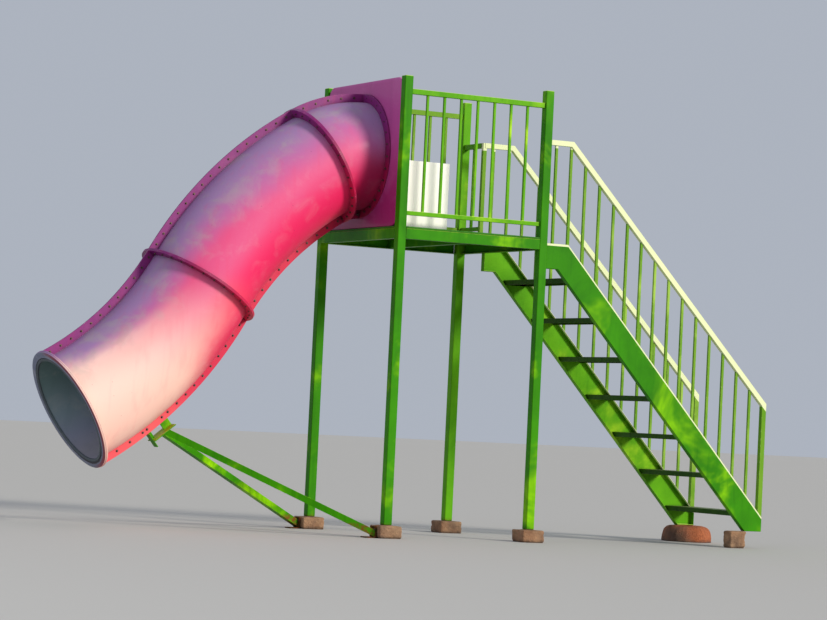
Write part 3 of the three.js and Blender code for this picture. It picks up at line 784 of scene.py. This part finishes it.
def makeMouthRim():
    arc = slideArcs["lower"]
    point, downSlide, up = arc.frameAt(arc.length)
    origin = point + downSlide * slide["seat"] / 2
    front, outer, inner = mouth["thickness"], mouth["outerRadius"], mouth["innerRadius"]
    groove, width = mouth["grooveRadius"], mouth["grooveWidth"]
    shoulder, back, bed = mouth["shoulder"], mouth["back"], front - mouth["grooveDepth"]
    profile = [
        (inner, back), (inner, front * 0.55), (shoulder - 0.002, front - 0.001), (shoulder + 0.002, front),
        (groove - width, front), (groove - width / 2, bed), (groove + width / 2, bed),
        (groove + width, front), (0.463, front), (outer - 0.006, front), (outer - 0.002, front - 0.002),
        (outer, front - 0.006), (outer, back), (0.45, back),
    ]

    def lowness(rise, start):
        # 0 down to the start, 1 at the lip's lowest point
        return max(0.0, -rise - start) / (1.0 - start)

    def chip(spot, spoke, along):
        # the lip is scraped and chipped where it faces down
        bite = sum(noise(spot * scale) * 0.5 for scale in mouth["chipScales"])
        low = lowness(spoke.dot(up), mouth["chipsFrom"])
        return spot - spoke * max(0.0, bite) * low * mouth["chipDepth"] * (along > 0.001)

    loops = []
    for angle in turnsOf(mouth["steps"]):
        spoke = up * cos(angle) + downSlide.cross(up) * sin(angle)
        spots = [(origin + spoke * radius + downSlide * along, along) for radius, along in profile]
        loops.append([chip(spot, spoke, along) for spot, along in spots])
    mesh = loopsMesh("mouthRim", loops, isRing=True)
    smoothed(mesh, mouth["crease"])
    coat(mesh, "lipGelcoat", "lipInnerGelcoat", "tubeGelcoat")

    def spokeTo(spot):
        spoke = spot - origin
        return spoke - downSlide * spoke.dot(downSlide)

    # the band inside the groove takes the darker inner gelcoat: a dark joint and painted shade
    for face in mesh.polygons:
        reach, isBack = spokeTo(face.center).length, face.normal.dot(downSlide) < -0.7
        if reach > outer - 0.004 or isBack:
            face.material_index = 2
        else:
            face.material_index = 1 if reach < groove + width * 0.9 else 0
    # scrape: how much the lip is scraped, most along its inner edge where it faces down
    # outerPart: 0 at the lip's inner edge, 1 at its outer edge
    for title in ("scrape", "outerPart", "sectionRise"):
        mesh.attributes.new(title, "FLOAT", "POINT")
    for index, vertex in enumerate(mesh.vertices):
        spoke = spokeTo(vertex.co)
        rise, outward = spoke.normalized().dot(up), spoke.length - groove
        nearness = max(0.0, 1.0 - outward / mouth["scrapeWidth"])
        mesh.attributes["sectionRise"].data[index].value = rise
        mesh.attributes["scrape"].data[index].value = lowness(rise, mouth["scrapesFrom"]) * nearness
        mesh.attributes["outerPart"].data[index].value = outward / (outer - groove)
    finishedPiece("lip_mouth_rim", mesh, ["mouth_rim"])


makeMouthRim()


# Entry panel: a tray with rounded corners, a turned-back edge and the tube's hole

panel = {"corner": 0.08, "wall": 0.010, "hole": 0.418, "facets": 256, "dishRadius": 0.50, "crease": 50}


def makeEntryPanel():
    low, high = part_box("entry_panel")
    halfWidth, halfHeight = (high.y - low.y) / 2, (high.z - low.z) / 2
    middleZ, axisZ = (high.z + low.z) / 2, slideStart.z

    def outlineAt(angle, inset):
        # where a line from the slide's axis meets the rounded outline
        corner = max(panel["corner"] - inset, 0.02)
        flatY, flatZ = halfWidth - inset - corner, halfHeight - inset - corner
        near, far = 0.0, 2.0
        for _ in range(40):
            reach = (near + far) / 2
            y, z = reach * sin(angle), axisZ + reach * cos(angle) - middleZ
            outside = hypot(max(abs(y) - flatY, 0.0), max(abs(z) - flatZ, 0.0)) > corner
            near, far = (near, reach) if outside else (reach, far)
        return near

    front, inside, back = low.x, low.x + panel["wall"], high.x
    wall = panel["wall"]
    # (x, inset from the outline), or (x, None, radius about the slide's axis)
    rows = [
        (front, None, panel["hole"]), (front, None, panel["dishRadius"]), (front, 0.03, 0), (front, 0.008, 0),
        (front + 0.0015, 0.004, 0), (front + 0.004, 0.0015, 0), (front + 0.008, 0.0, 0),
        (back - 0.002, 0.0, 0), (back, 0.002, 0), (back, wall - 0.002, 0), (back - 0.002, wall, 0),
        (inside + 0.006, wall, 0), (inside, wall + 0.006, 0),
        (inside, None, panel["dishRadius"]), (inside, None, panel["hole"]),
    ]
    loops = []
    for angle in turnsOf(panel["facets"]):
        reaches = [radius if inset is None else outlineAt(angle, inset) for _, inset, radius in rows]
        loops.append([
            (row[0], reach * sin(angle), axisZ + reach * cos(angle))
            for row, reach in zip(rows, reaches)
        ])
    mesh = loopsMesh("entryPanel", loops, isRing=True)
    smoothed(mesh, panel["crease"])
    coat(mesh, "panelGelcoat")
    finishedPiece("gelcoat_entry_panel", mesh, ["entry_panel"])


makeEntryPanel()


# Entry trough: half a round between upright skirts on the deck, with a plate at each end

trough = {
    "wall": 0.008, "flangeWall": 0.010, "rounding": 0.003, "arcSteps": 48, "steps": 8, "inset": 0.0003,
}


def makeEntryTrough():
    low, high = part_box("entry_trough")
    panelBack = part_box("entry_panel")[1].x + slide["seat"]
    axisZ, wall = slideStart.z, trough["wall"]
    raisedFoot = low.z + panel["wall"] + slide["seat"]  # over the panel's turned-back edge

    def halfRound(radius, level):
        # from one side of the trough under its axis to the other
        tilt = asin((axisZ - level) / radius)
        turns = [tilt + (pi - 2 * tilt) * k / trough["arcSteps"] for k in range(trough["arcSteps"] + 1)]
        return [(-radius * cos(a), axisZ - radius * sin(a)) for a in turns]

    def skirted(half, foot, level, radius):
        return [(-half, foot), (-half, level), *halfRound(radius, level), (half, level), (half, foot)]

    def sectionAt(x, foot):
        over = skirted(high.y, foot, high.z, slide["innerRadius"])
        under = skirted(high.y - wall, foot, high.z - wall, slide["outerRadius"])
        return (over, under), lambda across, level: Vector((x, across, level))

    spots = [(low.x, raisedFoot), (panelBack, raisedFoot), (panelBack + trough["inset"], low.z)]
    steps = trough["steps"]
    spots += [(panelBack + (high.x - panelBack) * (k + 1) / steps, low.z) for k in range(steps)]
    shape = sweep("entryTrough", [sectionAt(*spot) for spot in spots])
    mesh = bevelled(shape, trough["rounding"], segments=3, angle=50)

    def endPlate(x, thickness, foot):
        # its edges lie in the middle of the walls around it
        edge = skirted(high.y - wall / 2, foot, high.z - wall / 2, slide["innerRadius"] + wall / 2)
        count = len(edge)
        points = [(side, y, z) for side in (x, x + thickness) for y, z in edge]
        faces = [tuple(range(count)), tuple(range(2 * count - 1, count - 1, -1))]
        faces += [(k, (k + 1) % count, count + (k + 1) % count, count + k) for k in range(count)]
        return meshFrom("endPlate", points, faces)

    plates = (
        endPlate(low.x + trough["inset"], trough["flangeWall"], raisedFoot),
        endPlate(high.x - wall - trough["inset"], wall, low.z),
    )
    reworked(mesh, lambda form: [form.from_mesh(plate) for plate in plates])
    coat(mesh, "whiteGelcoat")
    finishedPiece("gelcoat_entry_trough", mesh, ["entry_trough"])


makeEntryTrough()
print("panel, trough and mouth rim made")


# Footings: cast blocks and a round pad, with worn corners and an uneven face

footings = {
    "underPosts": ("slide_front", "stair_front", "slide_rear", "stair_rear"),
    "underStair": ("stair_footing_front", "stringer_front"),
    "pad": "stair_footing_rear", "padCarries": "stringer_rear",
    "cuts": 30, "seedStep": 7.3, "cornerWear": 0.014, "unevenness": 0.010, "lumps": 0.10, "bearing": 0.035,
    # how fine the noise is, its broader and finer layers, and the pits in the finer one
    "grain": 15.0, "broader": 0.35, "finer": 3.1, "pitLevel": 0.15, "pitShare": 0.8, "topBand": 0.02,
    "wearGrain": 14.0, "wearChange": 0.8, "lumpGrain": 5.0, "swellGrain": 1.7,
    "padSteps": 120,
}


def roughened(spot, middle, top, carried, seed):
    # moves a point of the surface inwards by an uneven depth, but not where it bears a load
    shifted = spot * footings["grain"] + Vector((seed, 0.0, 0.0))
    depth = (noise(shifted) * 0.5 + 0.5) * footings["unevenness"]
    depth += max(0.0, noise(shifted * footings["broader"])) * footings["unevenness"]
    pits = max(0.0, noise(shifted * footings["finer"]) - footings["pitLevel"])
    depth += pits * footings["unevenness"] * footings["pitShare"]
    low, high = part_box(carried)
    besideX = max(low.x - spot.x, spot.x - high.x, 0.0)
    besideY = max(low.y - spot.y, spot.y - high.y, 0.0)
    bearing = 1.0 - min(1.0, hypot(besideX, besideY) / footings["bearing"])
    if spot.z > top - footings["topBand"]:
        depth *= 1.0 - bearing
    return spot + (middle - spot).normalized() * depth


def makeBlock(node, carried, seed):
    low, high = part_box(node)
    middle, half = (low + high) / 2, (high - low) / 2
    form = bmesh.new()
    bmesh.ops.create_cube(form, size=2.0)
    bmesh.ops.subdivide_edges(form, edges=form.edges, cuts=footings["cuts"], use_grid_fill=True)
    for vertex in form.verts:
        spot = Vector((vertex.co[i] * half[i] for i in range(3)))
        change = noise(spot * footings["wearGrain"] + Vector((seed, 3.0, 0.0)))
        worn = footings["cornerWear"] * (1.0 + footings["wearChange"] * change)
        core = Vector((max(-half[i] + worn, min(half[i] - worn, spot[i])) for i in range(3)))
        away = spot - core
        if sum(abs(part) > 1e-6 for part in away) > 1:
            spot = core + away.normalized() * worn
        isFoot = spot.z < -half.z + 0.001
        spot += middle
        vertex.co = spot if isFoot else roughened(spot, middle, high.z, carried, seed)
    mesh = bpy.data.meshes.new(node)
    form.to_mesh(mesh)
    form.free()
    mesh.shade_smooth()
    coat(mesh, "castConcrete")
    finishedPiece("cast_" + node, mesh, [node])


def makePad(node, carried):
    low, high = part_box(node)
    middle = (low + high) / 2
    radius, height = (high.x - low.x) / 2, high.z - low.z
    # shares of the radius and of the height
    rows = [
        (0.0, 0.0), (0.7, 0.0), (0.96, 0.0), (0.995, 0.08), (0.995, 0.25), (0.98, 0.42), (0.955, 0.58),
        (0.92, 0.72), (0.87, 0.83), (0.80, 0.91), (0.71, 0.96), (0.60, 0.99), (0.45, 1.0), (0.22, 1.0),
        (0.0, 1.0),
    ]
    loops = []
    for share, rise in rows:
        loops.append([])
        for angle in turnsOf(footings["padSteps"]):
            way = Vector((cos(angle), sin(angle), 0.0))
            lumps = noise(way * footings["lumpGrain"] + Vector((0.0, 0.0, rise)))
            swell = (noise(way * footings["swellGrain"]) + 1.0) * 0.5 + (lumps + 1.0) * 0.2
            lump = 1.0 - footings["lumps"] * swell * min(1.0, share * 1.2) * (0.5 + rise * 0.5)
            spot = Vector((middle.x, middle.y, low.z + rise * height)) + way * radius * share * lump
            loops[-1].append(spot if rise == 0.0 else roughened(spot, middle, high.z, carried, 3.0))
    mesh = loopsMesh(node, loops)
    mesh.shade_smooth()
    coat(mesh, "stainedConcrete")
    finishedPiece("cast_" + node, mesh, [node])


blocks = [("footing_" + corner, "post_" + corner) for corner in footings["underPosts"]]
for index, (block, carried) in enumerate([*blocks, footings["underStair"]]):
    makeBlock(block, carried, index * footings["seedStep"])
makePad(footings["pad"], footings["padCarries"])
print("footings cast")


# Bolts: rows of bolts along the flanges, set out by Geometry Nodes

def makeBoltTree():
    tree, given = newGroup("boltRow", (
        "Geometry", "Pitch", "Head Radius", "Head Height", "Washer Radius", "Grip", "Tail", "Seed", "Finish",
    ), "GeometryNodeTree", Geometry="Geometry", Seed="Int", Finish="Material")
    step = given["Geometry"].through
    line = step("GeometryNodeMeshToCurve", {"Mesh": given["Geometry"]})
    spots = step("GeometryNodeResampleCurve", {"Curve": line, "Length": given["Pitch"]}, mode="LENGTH")
    bolt = put(tree, "GeometryNodeJoinGeometry")
    washer, head = 0.0015, given["Head Height"]

    def disc(corners, radius, depth, middle):
        size = {"Vertices": corners, "Radius": radius, "Depth": depth}
        form = step("GeometryNodeMeshCylinder", size, fill_type="NGON")
        offset = step("ShaderNodeCombineXYZ", {"Z": middle})
        step("GeometryNodeTransform", {"Geometry": form, "Translation": offset}).feed(bolt.inputs[0])

    halfGrip = given["Grip"] * 0.5
    headMiddle = halfGrip + head * 0.5 + washer
    washerMiddle = halfGrip + washer / 2
    disc(6, given["Head Radius"], head, headMiddle)
    disc(16, given["Washer Radius"], washer, washerMiddle)
    disc(6, given["Head Radius"], head, headMiddle * -1.0)
    disc(16, given["Washer Radius"], washer, washerMiddle * -1.0)
    disc(10, given["Head Radius"] * 0.55, given["Tail"], (headMiddle + head) * -1.0)
    way = step("GeometryNodeInputNamedAttribute", {"Name": "boltAxis"}, data_type="FLOAT_VECTOR")
    turn = step("FunctionNodeAlignRotationToVector", {"Vector": way}, axis="Z")
    spin = step("FunctionNodeRandomValue", {"Max": 6.283, "Seed": given["Seed"]}, 1, data_type="FLOAT")
    spinTurn = step("FunctionNodeAxisAngleToRotation", {"Axis": (0.0, 0.0, 1.0), "Angle": spin})
    facing = step("FunctionNodeRotateRotation", {
        "Rotation": turn, "Rotate By": spinTurn,
    }, rotation_space="LOCAL")
    bolts = step("GeometryNodeInstanceOnPoints", {
        "Points": spots, "Instance": bolt.outputs[0], "Rotation": facing,
    })
    solid = step("GeometryNodeRealizeInstances", {"Geometry": bolts})
    painted = step("GeometryNodeSetMaterial", {"Geometry": solid, "Material": given["Finish"]})
    return closeGroup(tree, {"Geometry": painted}, "NodeSocketGeometry")


boltTree = makeBoltTree()
bolting = {
    "radius": 0.459, "seamPitch": 0.098, "seamStep": 0.03, "endGap": 0.06, "margin": 0.02,
    "ringPitch": 12, "ringStep": 3,
    "ease": 0.99,  # a pitch just under the even one, so that rounding never drops a bolt
    "sizes": {"Head Radius": 0.0065, "Head Height": 0.0055, "Washer Radius": 0.0095, "Tail": 0.005},
    # the bracket's cleats, along the slide from where its angle is measured
    "bracketAngle": 39.7, "cleats": ((-0.144, -0.066), (0.028, 0.067)), "cleatSheet": 0.008,
    "footBolts": {"height": 0.066, "spread": 0.032, "wall": 0.009},
}


def boltPiece(name, lines, pitch, grip, seed):
    # lines is a list of (points, the way that the bolts point)
    points, edges, axes = [], [], []
    for spots, axis in lines:
        base = len(points)
        points += spots
        axes += [axis] * len(spots)
        edges += [(base + k, base + k + 1) for k in range(len(spots) - 1)]
    path = bpy.data.meshes.new(name)
    path.from_pydata(points, edges, [])
    attribute = path.attributes.new("boltAxis", "FLOAT_VECTOR", "POINT")
    for item, axis in zip(attribute.data, axes):
        item.vector = axis
    host = newObject(name, path)
    modifier = host.modifiers.new("bolts", "NODES")
    modifier.node_group = boltTree
    sockets = {item.name: item.identifier for item in boltTree.interface.items_tree if item.in_out == "INPUT"}
    settings = {"Pitch": pitch, "Grip": grip, "Seed": seed, "Finish": finishes["boltSteel"]}
    for title, value in {**bolting["sizes"], **settings}.items():
        modifier[sockets[title]] = value
    mesh = bake(host, name)
    mesh.set_sharp_from_angle(angle=radians(30))
    finishedPiece(name, mesh)


def alongSeam(arc, rise, first, last):
    count = max(2, round((last - first) / bolting["seamStep"]))
    spots = [first + (last - first) * k / count for k in range(count + 1)]
    return [arc.frameAt(s)[0] + arc.frameAt(s)[2] * rise for s in spots], (0.0, 1.0, 0.0)


def ringOf(arc, along, first, last):
    # part of a ring round the slide, in degrees from its top
    point, downSlide, up = arc.frameAt(along)
    across = Vector((0.0, 1.0, 0.0))
    turns = [radians(turn) for turn in range(first, last + 1, bolting["ringStep"])]
    ring = [point + (up * cos(a) + across * sin(a)) * bolting["radius"] for a in turns]
    return ring, tuple(-downSlide)


def makeSeamBolts():
    radius, gap = bolting["radius"], bolting["endGap"]
    lower = slideArcs["lower"]
    bracketAlong = (radians(bolting["bracketAngle"]) - lower.startAngle) * lower.radius
    # a length on the centre line for one measured at the bolts
    inward = abs(lower.radius) / (abs(lower.radius) + radius)
    cleats = [tuple(bracketAlong + end * inward for end in cleat) for cleat in bolting["cleats"]]
    seams = [alongSeam(arc, radius, gap, arc.length - gap) for arc in slideArcs.values()]
    for arc in (slideArcs["upper"], slideArcs["middle"]):
        seams.append(alongSeam(arc, -radius, gap, arc.length - gap))
    seams.append(alongSeam(lower, -radius, gap, cleats[0][0] - bolting["margin"]))
    seams.append(alongSeam(lower, -radius, cleats[1][1] + bolting["margin"], lower.length - gap))
    grip = 2 * slide["seamFlange"] + slide["seat"]
    boltPiece("bolts_tube_seams", seams, bolting["seamPitch"], grip, 3)

    # one bolt through each cleat, behind the rear flange
    backing = bolting["cleatSheet"] + slide["seat"]
    middles = [lower.frameAt((start + end) / 2) for start, end in cleats]
    points = [point - up * radius + Vector((0.0, backing / 2, 0.0)) for point, _, up in middles]
    apart = (points[1] - points[0]).length * bolting["ease"]
    boltPiece("bolts_tube_bracket", [(points, (0.0, 1.0, 0.0))], apart, grip + backing, 4)


def makeRingBolts():
    pitch = bolting["radius"] * radians(bolting["ringPitch"]) * bolting["ease"]
    joint = 2 * slide["ringFlange"] + slide["seat"]
    rings = [ringOf(slideArcs[name], slideArcs[name].length, 3, 351) for name in ("upper", "middle")]
    boltPiece("bolts_tube_rings", rings, pitch, joint, 5)
    upper, flange = slideArcs["upper"], trough["flangeWall"]
    boltPiece("bolts_panel_top", [ringOf(upper, 0.0, -93, 87)], pitch, joint, 7)
    thicker = joint + flange + slide["seat"] * 2
    besideTrough = [ringOf(upper, -flange / 2, 99, 255)]
    boltPiece("bolts_panel_trough", besideTrough, pitch, thicker, 9)


def makeFootBolts():
    rows = []
    given = bolting["footBolts"]
    for node in ("strut_foot_front", "strut_foot_rear"):
        low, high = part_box(node)
        middleY = (low.y + high.y) / 2
        x = high.x - given["wall"] / 2
        ends = [Vector((x, middleY + side * given["spread"], given["height"])) for side in (-1, 1)]
        rows.append((ends, (-1.0, 0.0, 0.0)))
    apart = given["spread"] * 2 * bolting["ease"]
    boltPiece("bolts_strut_feet", rows, apart, given["wall"], 11)


makeSeamBolts()
makeRingBolts()
makeFootBolts()
print("bolts set out")


# Studio: a pale floor, a wide soft key from the front right, and a fill

aim = Vector((0.0, 0.0, 1.79))
studio = {
    "cameraPlace": Vector((-11.1431, -20.998, 0.899)), "lens": 130.0, "roll": 2.8, "clipEnd": 400.0,
    "floorReach": 120.0, "floorColour": (186, 184, 180), "sky": (0.80, 0.87, 1.0), "skyStrength": 0.52,
}
lights = {
    # each one: its kind, its place and its settings
    "key": ("SUN", aim + Vector((0.5, -0.78, 0.40)) * 20.0, {
        "energy": 3.3, "angle": radians(14.0), "color": (1.0, 0.94, 0.83),
    }),
    "fill": ("AREA", Vector((-15.0, -9.0, 7.0)), {"energy": 350.0, "size": 10.0, "color": (0.86, 0.92, 1.0)}),
}


def makeStudio():
    scene = bpy.context.scene
    reach = studio["floorReach"]
    ground = bpy.data.meshes.new("floor")
    corners = [(-reach, -reach, 0), (reach, -reach, 0), (reach, reach, 0), (-reach, reach, 0)]
    ground.from_pydata(corners, [], [(0, 1, 2, 3)])
    material, _, _ = newMaterial("paleFloor", Base_Color=tint(studio["floorColour"]), Roughness=0.85)
    ground.materials.append(material)
    floor = newObject("floor", ground)

    for name, (kind, place, settings) in lights.items():
        lamp = bpy.data.lights.new(name, kind)
        for title, value in settings.items():
            setattr(lamp, title, value)
        light = newObject(name, lamp)
        light.location = place
        light.rotation_euler = (aim - place).to_track_quat("-Z", "Y").to_euler()

    world = bpy.data.worlds.new("studio")
    world.use_nodes = True
    background = world.node_tree.nodes["Background"].inputs
    background[0].default_value = (*studio["sky"], 1.0)
    background[1].default_value = studio["skyStrength"]
    scene.world = world
    scene.view_settings.view_transform = "Standard"

    lens = bpy.data.cameras.new("camera")
    lens.lens = studio["lens"]
    lens.clip_end = studio["clipEnd"]
    camera = newObject("camera", lens)
    camera.location = studio["cameraPlace"]
    facing = (aim - studio["cameraPlace"]).to_track_quat("-Z", "Y").to_matrix()
    camera.rotation_euler = (facing @ Matrix.Rotation(radians(studio["roll"]), 3, "Z")).to_euler()
    scene.camera = camera


makeStudio()
print("studio lit")
